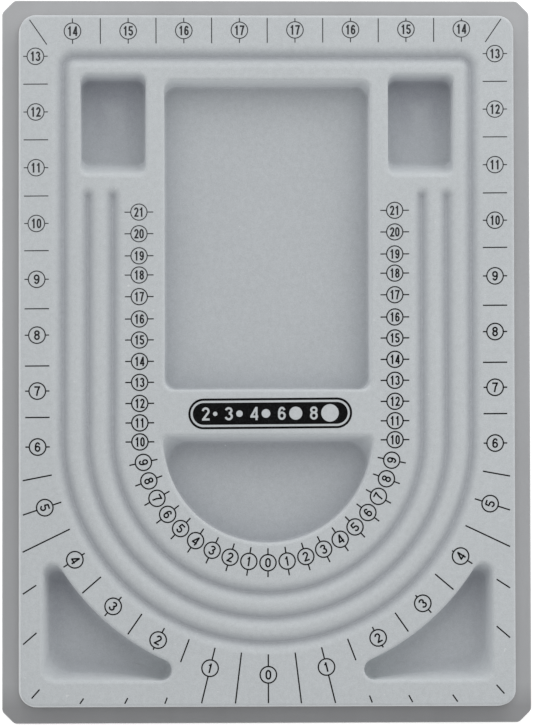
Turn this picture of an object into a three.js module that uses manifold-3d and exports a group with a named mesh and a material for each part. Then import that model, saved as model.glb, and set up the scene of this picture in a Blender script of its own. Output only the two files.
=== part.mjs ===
// Bead board: a shallow tray, vacuum-formed from one plastic sheet, whose raised face is coated with flock.
// Three U-shaped channels hold strands while they are laid out, and six recesses hold loose beads.
// Millimetres, +Z up, +Y towards the far end, origin on the table under the middle of the rim.
import * as THREE from 'three';
import { mergeVertices } from 'three/addons/utils/BufferGeometryUtils.js';
import Module from 'manifold-3d';

// Whole board. The face is the flocked surface that beads lie on, and all mouths are measured on it.
const boardWidth = 241.3;
const boardLength = 330.2;
const boardHeight = 19;
const rimWidth = 8.6;
const rimCornerCut = 5.6;
const rimCornerRadius = 3;
const blockCornerRadius = 7;
const blockFootRadius = 0.5;

// Layers, from the face down to the back of the sheet.
const pileHeight = 0.5;
const glueFilm = 0.3;
const sheetThickness = 1;
const bareWallAboveRim = 2;

// Walls of the block and of the recesses. A draft is in degrees from upright.
const blockDraft = 4;
const recessDraft = 2;
const lipRadius = 1.4;
const recessFootRadius = 1.2;
const floorLift = 1.2;

// Channels: all share one centre, and the outer one runs on across the far end as a closed loop. Their
// broad lips all but meet, so the face between two channels is a soft round ridge.
const channelCentreY = -35.4;
const outerChannelRadius = 92.6;
const channelPitch = 11.2;
const innerChannels = 2;
const channelWidth = 6.8;
const channelDepth = 3.8;
const channelDraft = 38;
const channelLipRadius = 4.2;
const channelFootRadius = 0.6;
const innerChannelEndY = 74.3;
const outerChannelEndY = 137.6;
const outerChannelCornerRadius = 5.3;

// Recesses. A toe is how much further than the draft alone a wall leans in at its foot, and a corner
// round is how much rounder a corner gets on its way from the mouth to the floor.
const mainRecess = { x: 0, y: 56.8, width: 94, length: 140.8, corner: 4, cornerRound: 2.2, nearToe: 0 };
const squareRecess = {
  x: 69.9,
  y: 106.9,
  width: 30,
  length: 46,
  corner: 3.6,
  cornerRound: 2.2,
  nearToe: 5.2,
};
const moonRecess = { radius: 46.8, beyondCentre: 1.3, corner: 2.6, cornerRound: 8, farToe: 1.4 };
const cornerRecess = {
  sideX: 101.1,
  endY: -143.5,
  arcRadius: 109.8,
  corner: 4.6,
  tip: 4.3,
  cornerRound: 2.4,
  sideToe: 3,
  endToe: 4.6,
  tipToe: 0.8,
};

// How finely curves are faceted, and the smallest radius and overlap that a cut may have.
const cornerSteps = 4;
const channelArcSteps = 21;
const moonArcSteps = 13;
const cornerArcSteps = 6;
const filletSteps = 2;
const leastRadius = 0.2;
const overcut = 1;

// Offsets of each surface from the face, negative into the sheet.
const flockBack = -pileHeight;
const sheetFace = flockBack - glueFilm;
const sheetBack = sheetFace - sheetThickness;
const recessDepth = boardHeight - floorLift + sheetBack;
const blockDepth = boardHeight + sheetBack;
const channelMouth = channelWidth / 2;

const QUARTER = Math.PI / 2;
const HALF = Math.PI;
const FULL = 2 * Math.PI;

const wasm = await Module();
wasm.setup();

function solidFrom(geometry) {
  const vertProperties = new Float32Array(geometry.attributes.position.array);
  const triVerts = new Uint32Array(geometry.index.array);
  return new wasm.Manifold(new wasm.Mesh({ numProp: 3, vertProperties, triVerts }));
}

function meshFrom(solid, name, material) {
  const { vertProperties, triVerts } = solid.getMesh();
  const geometry = new THREE.BufferGeometry();
  geometry.setAttribute('position', new THREE.BufferAttribute(vertProperties, 3));
  geometry.setIndex(new THREE.BufferAttribute(triVerts, 1));
  geometry.computeVertexNormals();
  const mesh = new THREE.Mesh(geometry, material);
  mesh.name = name;
  return mesh;
}

function arcPoints({ x, y, radius, from, to, steps }) {
  const arc = new THREE.EllipseCurve(x, y, radius, radius, from, to, to < from);
  return arc.getPoints(steps);
}

// Closed outline through arcs in turn, with straight runs between those that don't meet end to end.
function traceOutline(arcs) {
  const points = arcs.flatMap(arcPoints);
  const coincident = leastRadius / 1000;
  return points.filter((point, i) => point.distanceTo(points[(i + 1) % points.length]) > coincident);
}

// Solid through rings with equally many points, from the lowest ring up, each anticlockwise from above.
function loft(rings) {
  const count = rings[0].points.length;
  const positions = rings.flatMap(({ points, z }) => points.flatMap((point) => [point.x, point.y, z]));
  const triangles = [];
  for (let ring = 0; ring < rings.length - 1; ring += 1) {
    for (let i = 0; i < count; i += 1) {
      const low = ring * count + i;
      const lowNext = ring * count + (i + 1) % count;
      triangles.push(low, lowNext, lowNext + count, low, lowNext + count, low + count);
    }
  }
  const topStart = (rings.length - 1) * count;
  for (const [a, b, c] of THREE.ShapeUtils.triangulateShape(rings[0].points, [])) {
    triangles.push(c, b, a);
  }
  for (const [a, b, c] of THREE.ShapeUtils.triangulateShape(rings.at(-1).points, [])) {
    triangles.push(topStart + a, topStart + b, topStart + c);
  }
  const geometry = new THREE.BufferGeometry();
  geometry.setAttribute('position', new THREE.Float32BufferAttribute(positions, 3));
  geometry.setIndex(triangles);
  return solidFrom(geometry);
}

// Section of a drafted wall: its rounded lip at the face, its straight flank and its rounded foot.
// Each point has its distance from the mouth line, its height and its share of the way down. An offset
// shifts face, flank and floor alike along their own normals, so offset sections stay parallel.
function wallSection({ depth, draft, lip, foot }, offset) {
  const angle = THREE.MathUtils.degToRad(draft);
  const sine = Math.sin(angle);
  const cosine = Math.cos(angle);
  const lipNow = Math.max(lip + offset, leastRadius);
  const footNow = Math.max(foot - offset, leastRadius);
  const footDrop = depth - offset - footNow;
  const lipArc = {
    x: (offset - lipNow) * (1 - sine) / cosine,
    y: offset - lipNow,
    radius: lipNow,
    from: QUARTER,
    to: angle,
    steps: filletSteps,
  };
  const footArc = {
    x: (offset + footNow + footDrop * sine) / cosine,
    y: -footDrop,
    radius: footNow,
    from: HALF + angle,
    to: HALF + QUARTER,
    steps: filletSteps,
  };
  const points = [...arcPoints(lipArc), ...arcPoints(footArc)];
  return points.map(({ x, y }) => ({ run: x, z: boardHeight + y, share: (offset - y) / depth }));
}

// Cutter for a recess: its wall from the floor to the mouth, then straight up past the face.
function recessCutter({ wall, outline }, offset) {
  const section = wallSection(wall, offset);
  const mouth = { ...section[0], z: section[0].z + overcut };
  const rings = [mouth, ...section].map(({ run, z, share }) => ({ points: outline(run, share), z }));
  return loft(rings.reverse());
}

const recessWall = { depth: recessDepth, draft: recessDraft, lip: lipRadius, foot: recessFootRadius };
const channelWall = {
  depth: channelDepth,
  draft: channelDraft,
  lip: channelLipRadius,
  foot: channelFootRadius,
};
const blockWall = { depth: blockDepth, draft: blockDraft, lip: lipRadius, foot: blockFootRadius };

// Outlines, each for a distance inside its mouth line and a share of the way down its wall.

function roundedCorner(corner, cornerRound, inset, share) {
  return Math.max(corner + cornerRound * share - inset, leastRadius);
}

function rectangleOutline({ x, y, width, length, corner, cornerRound, nearToe }, inset, share) {
  const radius = roundedCorner(corner, cornerRound, inset, share);
  const right = x + width / 2 - inset - radius;
  const left = x - width / 2 + inset + radius;
  const far = y + length / 2 - inset - radius;
  const near = y - length / 2 + inset + nearToe * share + radius;
  const steps = cornerSteps;
  return traceOutline([
    { x: right, y: far, radius, from: 0, to: QUARTER, steps },
    { x: left, y: far, radius, from: QUARTER, to: HALF, steps },
    { x: left, y: near, radius, from: HALF, to: HALF + QUARTER, steps },
    { x: right, y: near, radius, from: HALF + QUARTER, to: FULL, steps },
  ]);
}

// Half disc about the channels' centre, with its straight side at the far end, a little beyond the centre.
function moonOutline({ radius, beyondCentre, corner, cornerRound, farToe }, inset, share) {
  const cornerRadius = roundedCorner(corner, cornerRound, inset, share);
  const bowRadius = radius - inset;
  const drop = inset + farToe * share + cornerRadius - beyondCentre;
  const reach = Math.sqrt((bowRadius - cornerRadius) ** 2 - drop ** 2);
  const y = channelCentreY - drop;
  const tilt = Math.atan2(drop, reach);
  return traceOutline([
    { x: reach, y, radius: cornerRadius, from: -tilt, to: QUARTER, steps: cornerSteps },
    { x: -reach, y, radius: cornerRadius, from: QUARTER, to: HALF + tilt, steps: cornerSteps },
    { x: 0, y: channelCentreY, radius: bowRadius, from: HALF + tilt, to: FULL - tilt, steps: moonArcSteps },
  ]);
}

// Three-sided recess in the near left corner: two straight sides, and a hollow one round the channels. Its
// straight walls get steeper from the corner to the tips.
function cornerOutline(recess, inset, share) {
  const { sideX, endY, arcRadius, corner, tip, cornerRound, sideToe, endToe, tipToe } = recess;
  const cornerRadius = roundedCorner(corner, cornerRound, inset, share);
  const tipRadius = roundedCorner(tip, cornerRound, inset, share);
  const side = -sideX + inset + sideToe * share;
  const end = endY + inset + endToe * share;
  const bowRadius = arcRadius + inset;
  const tipReach = bowRadius + tipRadius;
  const upperTipX = -sideX + inset + tipToe * share + tipRadius;
  const upperTipY = channelCentreY - Math.sqrt(tipReach ** 2 - upperTipX ** 2);
  const lowerTipY = endY + inset + tipToe * share + tipRadius;
  const lowerTipX = -Math.sqrt(tipReach ** 2 - (lowerTipY - channelCentreY) ** 2);
  const upperAngle = Math.atan2(channelCentreY - upperTipY, -upperTipX);
  const lowerAngle = Math.atan2(channelCentreY - lowerTipY, -lowerTipX);
  const steps = cornerSteps;
  return traceOutline([
    {
      x: side + cornerRadius,
      y: end + cornerRadius,
      radius: cornerRadius,
      from: HALF,
      to: HALF + QUARTER,
      steps,
    },
    { x: lowerTipX, y: lowerTipY, radius: tipRadius, from: HALF + QUARTER, to: FULL + lowerAngle, steps },
    {
      x: 0,
      y: channelCentreY,
      radius: bowRadius,
      from: HALF + lowerAngle,
      to: HALF + upperAngle,
      steps: cornerArcSteps,
    },
    { x: upperTipX, y: upperTipY, radius: tipRadius, from: upperAngle, to: HALF, steps },
  ]);
}

function mirrored(points) {
  return points.map((point) => new THREE.Vector2(-point.x, point.y)).reverse();
}

// Band of a channel with two straight legs, a half-round bend and rounded far ends.
function openChannelOutline(radius, inset) {
  const half = channelMouth - inset;
  const bend = { x: 0, y: channelCentreY, steps: channelArcSteps };
  const end = { y: innerChannelEndY, radius: half, from: 0, to: HALF, steps: cornerSteps };
  return traceOutline([
    { ...end, x: radius },
    { ...bend, radius: radius - half, from: FULL, to: HALF },
    { ...end, x: -radius },
    { ...bend, radius: radius + half, from: HALF, to: FULL },
  ]);
}

// Line that runs round the outer channel's loop, a given distance outside its centre line.
function loopOutline(outset) {
  const radius = Math.max(outerChannelCornerRadius + outset, leastRadius);
  const side = outerChannelRadius + outset;
  const end = outerChannelEndY + outset;
  return traceOutline([
    { x: side - radius, y: end - radius, radius, from: 0, to: QUARTER, steps: cornerSteps },
    { x: radius - side, y: end - radius, radius, from: QUARTER, to: HALF, steps: cornerSteps },
    { x: 0, y: channelCentreY, radius: side, from: HALF, to: FULL, steps: channelArcSteps },
  ]);
}

// Cutter for the closed loop: all inside its outer wall, less the island inside its inner wall.
function loopCutter(offset) {
  const section = wallSection(channelWall, offset);
  const mouth = section[0];
  const floor = section.at(-1);
  const outer = [{ ...mouth, z: mouth.z + overcut }, ...section];
  const island = [{ ...mouth, z: mouth.z + 2 * overcut }, ...section, { ...floor, z: floor.z - overcut }];
  const outerRings = outer.map(({ run, z }) => ({ points: loopOutline(channelMouth - run), z }));
  const islandRings = island.map(({ run, z }) => ({ points: loopOutline(run - channelMouth), z }));
  return loft(outerRings.reverse()).subtract(loft(islandRings.reverse()));
}

const recesses = [
  { wall: recessWall, outline: (inset, share) => rectangleOutline(mainRecess, inset, share) },
  { wall: recessWall, outline: (inset, share) => rectangleOutline(squareRecess, inset, share) },
  { wall: recessWall, outline: (inset, share) => mirrored(rectangleOutline(squareRecess, inset, share)) },
  { wall: recessWall, outline: (inset, share) => moonOutline(moonRecess, inset, share) },
  { wall: recessWall, outline: (inset, share) => cornerOutline(cornerRecess, inset, share) },
  { wall: recessWall, outline: (inset, share) => mirrored(cornerOutline(cornerRecess, inset, share)) },
];
for (let i = 1; i <= innerChannels; i += 1) {
  const radius = outerChannelRadius - i * channelPitch;
  recesses.push({ wall: channelWall, outline: (inset) => openChannelOutline(radius, inset) });
}

function cutRecesses(solid, offset) {
  const cutters = [...recesses.map((recess) => recessCutter(recess, offset)), loopCutter(offset)];
  return cutters.reduce((rest, cutter) => rest.subtract(cutter), solid);
}

// The raised block, spreading at its foot into the rim, and carried on downwards by a given skirt.
function block(offset, skirt) {
  const outline = {
    x: 0,
    y: 0,
    width: boardWidth - 2 * rimWidth,
    length: boardLength - 2 * rimWidth,
    corner: blockCornerRadius,
    cornerRound: 0,
    nearToe: 0,
  };
  const section = wallSection(blockWall, offset);
  const foot = section.at(-1);
  const rings = [...section, { ...foot, z: foot.z - skirt }];
  return loft(rings.map(({ run, z }) => ({ points: rectangleOutline(outline, -run, 0), z })).reverse());
}

// Everything under the surface that lies the given offset from the face.
function form(offset, skirt) {
  return cutRecesses(block(offset, skirt), offset);
}

// Flat rim around the block, with its four corners cut off and eased.
function rimPlate() {
  const ease = rimCornerRadius * Math.tan(QUARTER / 4);
  const inX = boardWidth / 2 - rimCornerRadius;
  const inY = boardLength / 2 - rimCornerRadius;
  const backX = boardWidth / 2 - rimCornerCut - ease;
  const backY = boardLength / 2 - rimCornerCut - ease;
  const centres = [[inX, backY], [backX, inY], [-backX, inY], [-inX, backY]];
  const allCentres = [...centres, ...centres.map(([x, y]) => [-x, -y])];
  const turns = allCentres.map(([x, y], i) => ({
    x,
    y,
    radius: rimCornerRadius,
    from: i * QUARTER / 2,
    to: (i + 1) * QUARTER / 2,
    steps: filletSteps,
  }));
  const shape = new THREE.Shape(traceOutline(turns));
  const geometry = new THREE.ExtrudeGeometry(shape, { depth: sheetThickness, bevelEnabled: false });
  geometry.deleteAttribute('normal');
  geometry.deleteAttribute('uv');
  return solidFrom(mergeVertices(geometry));
}

// The formed sheet: rim and block in one, hollow beneath with the same wall everywhere.
function trayShell() {
  const outside = rimPlate().add(block(sheetFace, sheetThickness / 2));
  return cutRecesses(outside, sheetFace).subtract(form(sheetBack, overcut));
}

// The flock: an even pile over the block and into every recess, down to a bare strip above the rim.
function flockCoat() {
  const stopZ = sheetThickness + bareWallAboveRim;
  const coat = form(0, overcut).subtract(form(flockBack, 2 * overcut));
  const below = new THREE.BoxGeometry(2 * boardWidth, 2 * boardLength, 2 * stopZ);
  below.deleteAttribute('normal');
  below.deleteAttribute('uv');
  return coat.subtract(solidFrom(mergeVertices(below)));
}

const barePlastic = new THREE.MeshStandardMaterial({ color: 0x9a9c9f, roughness: 0.5, metalness: 0 });
const greyFlock = new THREE.MeshStandardMaterial({ color: 0xbbc0c3, roughness: 1, metalness: 0 });

const group = new THREE.Group();
group.name = 'bead_board';
group.add(meshFrom(trayShell(), 'tray_shell', barePlastic));
group.add(meshFrom(flockCoat(), 'flock_coat', greyFlock));

export default group;
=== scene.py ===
"""Bead board: a vacuum-formed tray with a flocked face and printed measuring scales.

The formed surfaces are rebuilt finely from the sections and outlines that the solids have. They are worked
out in millimetres and become metres when a piece is made. +Y is the far end, +Z is up out of the face.
"""
import math
from collections import namedtuple

import bmesh
import bpy
from mathutils import Matrix, Vector, noise
from mathutils.bvhtree import BVHTree
from mathutils.geometry import delaunay_2d_cdt


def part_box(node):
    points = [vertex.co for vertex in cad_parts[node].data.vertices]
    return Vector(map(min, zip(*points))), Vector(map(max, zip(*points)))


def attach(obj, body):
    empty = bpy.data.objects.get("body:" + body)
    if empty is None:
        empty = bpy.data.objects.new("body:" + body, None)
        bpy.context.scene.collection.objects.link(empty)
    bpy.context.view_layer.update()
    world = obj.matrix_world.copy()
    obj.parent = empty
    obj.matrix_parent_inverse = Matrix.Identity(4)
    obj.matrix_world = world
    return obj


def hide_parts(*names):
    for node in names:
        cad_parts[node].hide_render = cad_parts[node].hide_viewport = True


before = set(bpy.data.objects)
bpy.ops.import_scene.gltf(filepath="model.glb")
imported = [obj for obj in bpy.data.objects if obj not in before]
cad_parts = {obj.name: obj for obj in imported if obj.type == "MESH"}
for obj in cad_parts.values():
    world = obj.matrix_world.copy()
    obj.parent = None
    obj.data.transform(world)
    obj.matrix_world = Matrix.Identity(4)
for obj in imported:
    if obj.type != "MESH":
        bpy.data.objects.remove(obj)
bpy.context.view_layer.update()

MM = 0.001
QUARTER = math.pi / 2
HALF = math.pi
FULL = 2 * math.pi

# Whole board, from the solids.
shell_low, shell_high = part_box("tray_shell")
coat_low, coat_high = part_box("flock_coat")
BOARD_WIDTH = (shell_high[0] - shell_low[0]) / MM
BOARD_LENGTH = (shell_high[1] - shell_low[1]) / MM
BOARD_HEIGHT = coat_high[2] / MM
FLOCK_STOP = coat_low[2] / MM

# Rim and block.
RIM_WIDTH = 8.6
RIM_CORNER_CUT = 5.6
RIM_CORNER_RADIUS = 3.0
RIM_EDGE_EASE = 0.15
RIM_EDGE_BAND = 0.7
FOLD_PALE = 0.6
BLOCK_CORNER_RADIUS = 7.0
BLOCK_FOOT_RADIUS = 0.5

# Layers, as offsets from the face of the solids, negative into the sheet.
INK_LIFT = 0.05
INK_SINK = 0.1
FLOCK_FACE = -0.06
SHEET_FACE = -0.8
SHEET_THICKNESS = 1.0
SHEET_BACK = SHEET_FACE - SHEET_THICKNESS
FLOCK_CLEAR = 0.02
FLOCK_SEAT = SHEET_FACE + FLOCK_CLEAR

# Walls: depth, lean from upright, and the radii of lip and foot.
LIP_RADIUS = 1.4
LEAST_RADIUS = 0.2
FLOOR_LIFT = 1.2
Wall = namedtuple("Wall", "depth draft lip foot")
RECESS_DEPTH = BOARD_HEIGHT - FLOOR_LIFT + SHEET_BACK
RECESS_WALL = Wall(RECESS_DEPTH, math.radians(2), LIP_RADIUS, 1.2)
BOWL_WALL = Wall(RECESS_DEPTH, math.radians(2), LIP_RADIUS, 3.4)
CHANNEL_WALL = Wall(3.8, math.radians(38), 4.2, 0.6)
BLOCK_WALL = Wall(BOARD_HEIGHT + SHEET_BACK, math.radians(4), LIP_RADIUS, BLOCK_FOOT_RADIUS)

# Channels, all about one centre.
CENTRE_Y = -35.4
OUTER_CHANNEL_RADIUS = 92.6
CHANNEL_PITCH = 11.2
INNER_CHANNELS = 2
CHANNEL_MOUTH = 3.4
INNER_CHANNEL_END_Y = 74.3
OUTER_CHANNEL_END_Y = 137.6
OUTER_CHANNEL_CORNER = 5.3

# Recesses. A toe is how much further than the draft a wall leans in at its foot.
Rectangle = namedtuple("Rectangle", "x y width length corner corner_round near_toe far_toe")
MAIN = Rectangle(0, 56.8, 94, 140.8, 4, 2.2, 0, 1.5)
SQUARE = Rectangle(69.9, 106.9, 30, 46, 3.6, 1, 5.2, 1.5)
BLOCK_WIDTH = BOARD_WIDTH - 2 * RIM_WIDTH
BLOCK_LENGTH = BOARD_LENGTH - 2 * RIM_WIDTH
BLOCK = Rectangle(0, 0, BLOCK_WIDTH, BLOCK_LENGTH, BLOCK_CORNER_RADIUS, 0, 0, 0)
Moon = namedtuple("Moon", "radius beyond_centre corner corner_round far_toe")
MOON = Moon(47.9, 1.3, 2.6, 8, 2.3)
Corner = namedtuple("Corner", "side_x end_y arc_radius corner corner_round side_toe end_toe upper lower")
CORNER = Corner(102.1, -145.2, 110.6, 5.4, 8, 2.6, 3.6, 4.5, 4.9)

# How finely curves are stepped, the width of the flat ring kept beside each fillet, how close points may come
# before they are joined, how sharp an edge has to be to stay sharp in the shading, and what the triangulation
# keeps: all of the hull, or the inside less the holes.
Detail = namedtuple("Detail", "corner bend moon bow fillet")
FINE = Detail(corner=10, bend=72, moon=56, bow=28, fillet=6)
HIDDEN = Detail(corner=6, bend=36, moon=24, bow=12, fillet=3)
GUARD = 0.06
FILL_WITHIN = GUARD / 1000
SHARP_ANGLE = math.radians(35)
KEEP_HULL = 0
KEEP_INSIDE = 2


def arc(x, y, radius, start, end, steps):
    turn = (end - start) / steps
    angles = [start + turn * i for i in range(steps + 1)]
    return [(x + radius * math.cos(a), y + radius * math.sin(a)) for a in angles]


def corner_radius(corner, corner_round, inset, share):
    return max(corner + corner_round * share - inset, LEAST_RADIUS)


def rectangle_outline(shape, inset, share, detail):
    radius = corner_radius(shape.corner, shape.corner_round, inset, share)
    right = shape.x + shape.width / 2 - inset - radius
    left = shape.x - shape.width / 2 + inset + radius
    far = shape.y + shape.length / 2 - inset - shape.far_toe * share - radius
    near = shape.y - shape.length / 2 + inset + shape.near_toe * share + radius
    centres = [(right, far), (left, far), (left, near), (right, near)]
    points = []
    for i, (x, y) in enumerate(centres):
        points += arc(x, y, radius, i * QUARTER, (i + 1) * QUARTER, detail.corner)
    return points


def moon_outline(shape, inset, share, detail):
    """Half disc about the channels' centre, its straight side at the far end, a little beyond the centre."""
    radius = corner_radius(shape.corner, shape.corner_round, inset, share)
    bow = shape.radius - inset
    drop = inset + shape.far_toe * share + radius - shape.beyond_centre
    reach = math.sqrt((bow - radius) ** 2 - drop ** 2)
    y = CENTRE_Y - drop
    tilt = math.atan2(drop, reach)
    right = arc(reach, y, radius, -tilt, QUARTER, detail.corner)
    left = arc(-reach, y, radius, QUARTER, HALF + tilt, detail.corner)
    return right + left + arc(0, CENTRE_Y, bow, HALF + tilt, FULL - tilt, detail.moon)[1:-1]


EASE_POWER = 2.5


def eased(start, stop, steps):
    """Points between two ends, on a line that bends late towards the second."""
    parts = [i / steps for i in range(1, steps)]
    across = stop[0] - start[0]
    along = stop[1] - start[1]
    return [(start[0] + across * part, start[1] + along * part ** EASE_POWER) for part in parts]


def corner_outline(shape, inset, share, detail):
    """Three-sided recess in the near left corner: two straight sides and a hollow one."""
    radius = corner_radius(shape.corner, shape.corner_round, inset, share)
    upper = corner_radius(shape.upper, 0, inset, share)
    lower = corner_radius(shape.lower, 0, inset, share)
    side = -shape.side_x + inset + shape.side_toe * share
    end = shape.end_y + inset + shape.end_toe * share
    bow = shape.arc_radius + inset
    upper_x = side + upper
    upper_y = CENTRE_Y - math.sqrt((bow + upper) ** 2 - upper_x ** 2)
    lower_y = shape.end_y + inset + lower
    lower_x = -math.sqrt((bow + lower) ** 2 - (lower_y - CENTRE_Y) ** 2)
    upper_angle = math.atan2(CENTRE_Y - upper_y, -upper_x)
    lower_angle = math.atan2(CENTRE_Y - lower_y, -lower_x)
    points = arc(side + radius, end + radius, radius, HALF, HALF + QUARTER, detail.corner)
    points += eased(points[-1], (lower_x, lower_y - lower), detail.corner)
    points += arc(lower_x, lower_y, lower, HALF + QUARTER, FULL + lower_angle, detail.corner)
    points += arc(0, CENTRE_Y, bow, HALF + lower_angle, HALF + upper_angle, detail.bow)[1:-1]
    return points + arc(upper_x, upper_y, upper, upper_angle, HALF, detail.corner)


def mirrored(points):
    return [(-x, y) for x, y in reversed(points)]


def open_channel_outline(radius, inset, detail):
    """Band with two straight legs, a half-round bend and rounded far ends."""
    half = CHANNEL_MOUTH - inset
    points = arc(radius, INNER_CHANNEL_END_Y, half, 0, HALF, detail.corner)
    points += arc(0, CENTRE_Y, radius - half, FULL, HALF, detail.bend)
    points += arc(-radius, INNER_CHANNEL_END_Y, half, 0, HALF, detail.corner)
    return points + arc(0, CENTRE_Y, radius + half, HALF, FULL, detail.bend)


def loop_outline(outset, detail):
    """Line round the outer channel's loop, a given distance outside its centre line."""
    radius = max(OUTER_CHANNEL_CORNER + outset, LEAST_RADIUS)
    side = OUTER_CHANNEL_RADIUS + outset
    end = OUTER_CHANNEL_END_Y + outset
    points = arc(side - radius, end - radius, radius, 0, QUARTER, detail.corner)
    points += arc(radius - side, end - radius, radius, QUARTER, HALF, detail.corner)
    return points + arc(0, CENTRE_Y, side, HALF, FULL, detail.bend)


def rim_outline(inset):
    """The sheet's trimmed edge: a rectangle with its corners cut off and eased."""
    ease = RIM_CORNER_RADIUS * math.tan(QUARTER / 4)
    in_x = BOARD_WIDTH / 2 - RIM_CORNER_RADIUS
    in_y = BOARD_LENGTH / 2 - RIM_CORNER_RADIUS
    back_x = BOARD_WIDTH / 2 - RIM_CORNER_CUT - ease
    back_y = BOARD_LENGTH / 2 - RIM_CORNER_CUT - ease
    centres = [(in_x, back_y), (back_x, in_y), (-back_x, in_y), (-in_x, back_y)]
    centres += [(-x, -y) for x, y in centres]
    points = []
    for i, (x, y) in enumerate(centres):
        points += arc(x, y, RIM_CORNER_RADIUS - inset, i * QUARTER / 2, (i + 1) * QUARTER / 2, FINE.fillet)
    return points


# A point down a wall: its distance inside the mouth line, its height, its share of the way down and how
# far it lies on the rounded lip, from 0 to 1.
Step = namedtuple("Step", "run z share lip")


def wall_section(wall, offset, detail, stop=None):
    """Steps from the face over the lip and down, to the floor or to a height where the wall stops."""
    sine = math.sin(wall.draft)
    cosine = math.cos(wall.draft)
    lip = max(wall.lip + offset, LEAST_RADIUS)
    foot = max(wall.foot - offset, LEAST_RADIUS)
    drop = wall.depth - offset - foot
    lip_x = (offset - lip) * (1 - sine) / cosine
    upper = arc(lip_x, offset - lip, lip, QUARTER, wall.draft, detail.fillet)
    if stop is None:
        foot_x = (offset + foot + drop * sine) / cosine
        lower = arc(foot_x, -drop, foot, HALF + wall.draft, HALF + QUARTER, detail.fillet)
        lower.append((lower[-1][0] + GUARD, lower[-1][1]))
    else:
        depth = BOARD_HEIGHT - stop
        lower = [((offset + depth * sine) / cosine, -depth)]
    steps = [Step(upper[0][0] - GUARD, BOARD_HEIGHT + offset, 0, 0)]
    for i, (run, y) in enumerate(upper):
        lip_share = math.sin(HALF * i / detail.fillet)
        steps.append(Step(run, BOARD_HEIGHT + y, (offset - y) / wall.depth, lip_share))
    steps += [Step(run, BOARD_HEIGHT + y, (offset - y) / wall.depth, 0) for run, y in lower]
    return steps


class Skin:
    """Points and faces of one piece in millimetres, gathered ring by ring."""

    def __init__(self):
        self.points = []
        self.faces = []
        self.marks = {"lip": [], "painted_shade": []}

    def ring(self, outline, z, lip=0.0, painted_shade=None):
        """A closed row of points at one height, all as far up a lip, each with the painted shade the list
        gives it.
        """
        first = len(self.points)
        self.points += [(x, y, z) for x, y in outline]
        self.marks["lip"] += [lip] * len(outline)
        self.marks["painted_shade"] += painted_shade or [0.0] * len(outline)
        return list(range(first, len(self.points)))

    def band(self, upper, lower):
        for i, j in zip(range(-1, len(upper) - 1), range(len(upper))):
            self.faces.append((upper[i], upper[j], lower[j], lower[i]))

    def bands(self, rings):
        for upper, lower in zip(rings, rings[1:]):
            self.band(upper, lower)

    def fill(self, outer, holes=()):
        """Flat faces inside the outer ring and outside the holes."""
        loops = [outer, *holes]
        order = [i for loop in loops for i in loop]
        places = [Vector(self.points[i][:2]) for i in order]
        starts = [sum(len(loop) for loop in loops[:k]) for k in range(len(loops))]
        spans = [list(range(start, start + len(loop))) for start, loop in zip(starts, loops)]
        _, _, cells, sources, _, _ = delaunay_2d_cdt(places, [], spans, KEEP_INSIDE, FILL_WITHIN)
        for cell in cells:
            self.faces.append(tuple(order[sources[corner][0]] for corner in cell))

    def make(self, name, slot, material):
        """A closed mesh object in metres that rides on the body."""
        mesh = bpy.data.meshes.new(name)
        mesh.from_pydata([Vector(point) * MM for point in self.points], [], self.faces)
        shape = bmesh.new()
        shape.from_mesh(mesh)
        bmesh.ops.recalc_face_normals(shape, faces=shape.faces)
        shape.to_mesh(mesh)
        shape.free()
        for key, values in self.marks.items():
            mesh.attributes.new(key, "FLOAT", "POINT").data.foreach_set("value", values)
        mesh.shade_smooth()
        mesh.set_sharp_from_angle(angle=SHARP_ANGLE)
        mesh.materials.append(material)
        piece = bpy.data.objects.new(name, mesh)
        bpy.context.scene.collection.objects.link(piece)
        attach(piece, "root")
        return piece


# Painted shade in recesses and channels: how much at the foot of a wall, out on the floor, how far from the
# foot it takes to change and how it comes on down the wall; then how much more in the shade and how that
# comes on.
PaintedShade = namedtuple("PaintedShade", "foot floor fade power shade shade_power")
PAINTED_SHADE_AMOUNTS = {
    "main": PaintedShade(0.38, 0.19, 16.0, 2.5, 0.0, 1.0),
    "moon": PaintedShade(0.46, 0.26, 19.0, 2.5, 0.1, 2.5),
    "left_square": PaintedShade(0.36, 0.53, 12.0, 2.5, 0.5, 2.5),
    "right_square": PaintedShade(0.36, 0.5, 12.0, 2.5, 0.5, 2.5),
    "left_corner": PaintedShade(0.48, 0.42, 4.0, 2.0, 0.3, 0.8),
    "right_corner": PaintedShade(0.4, 0.36, 4.0, 2.0, 0.3, 0.8),
}
# Painted shade down the channels' walls and along their floors.
CHANNEL_PAINTED_SHADE = PaintedShade(0.43, 0.43, 0.0, 1.0, 0.0, 1.0)
FADE_STEPS = (0.5, 1)
FAR_SHADE_REACH = 9.0
FAR_TIP_START = 24.0
FAR_TIP_REACH = 17.0
NEAR_TIP_START = 62.0
NEAR_TIP_REACH = 12.0


def recess_outlines():
    """Outlines of the six recesses, as functions of the inset and the share of the way down."""
    return {
        "main": lambda inset, share, detail: rectangle_outline(MAIN, inset, share, detail),
        "right_square": lambda inset, share, detail: rectangle_outline(SQUARE, inset, share, detail),
        "left_square": lambda inset, share, detail: mirrored(rectangle_outline(SQUARE, inset, share, detail)),
        "moon": lambda inset, share, detail: moon_outline(MOON, inset, share, detail),
        "left_corner": lambda inset, share, detail: corner_outline(CORNER, inset, share, detail),
        "right_corner": lambda inset, share, detail: mirrored(corner_outline(CORNER, inset, share, detail)),
    }


def under_far_wall(points, way):
    """How far each point of a ring lies in the shade of a recess's far wall, from 0 to 1."""
    far = max(y for _, y in points)
    return [max(0.0, 1 - (far - y) / FAR_SHADE_REACH) * (1 - way ** 2) for _, y in points]


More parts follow.
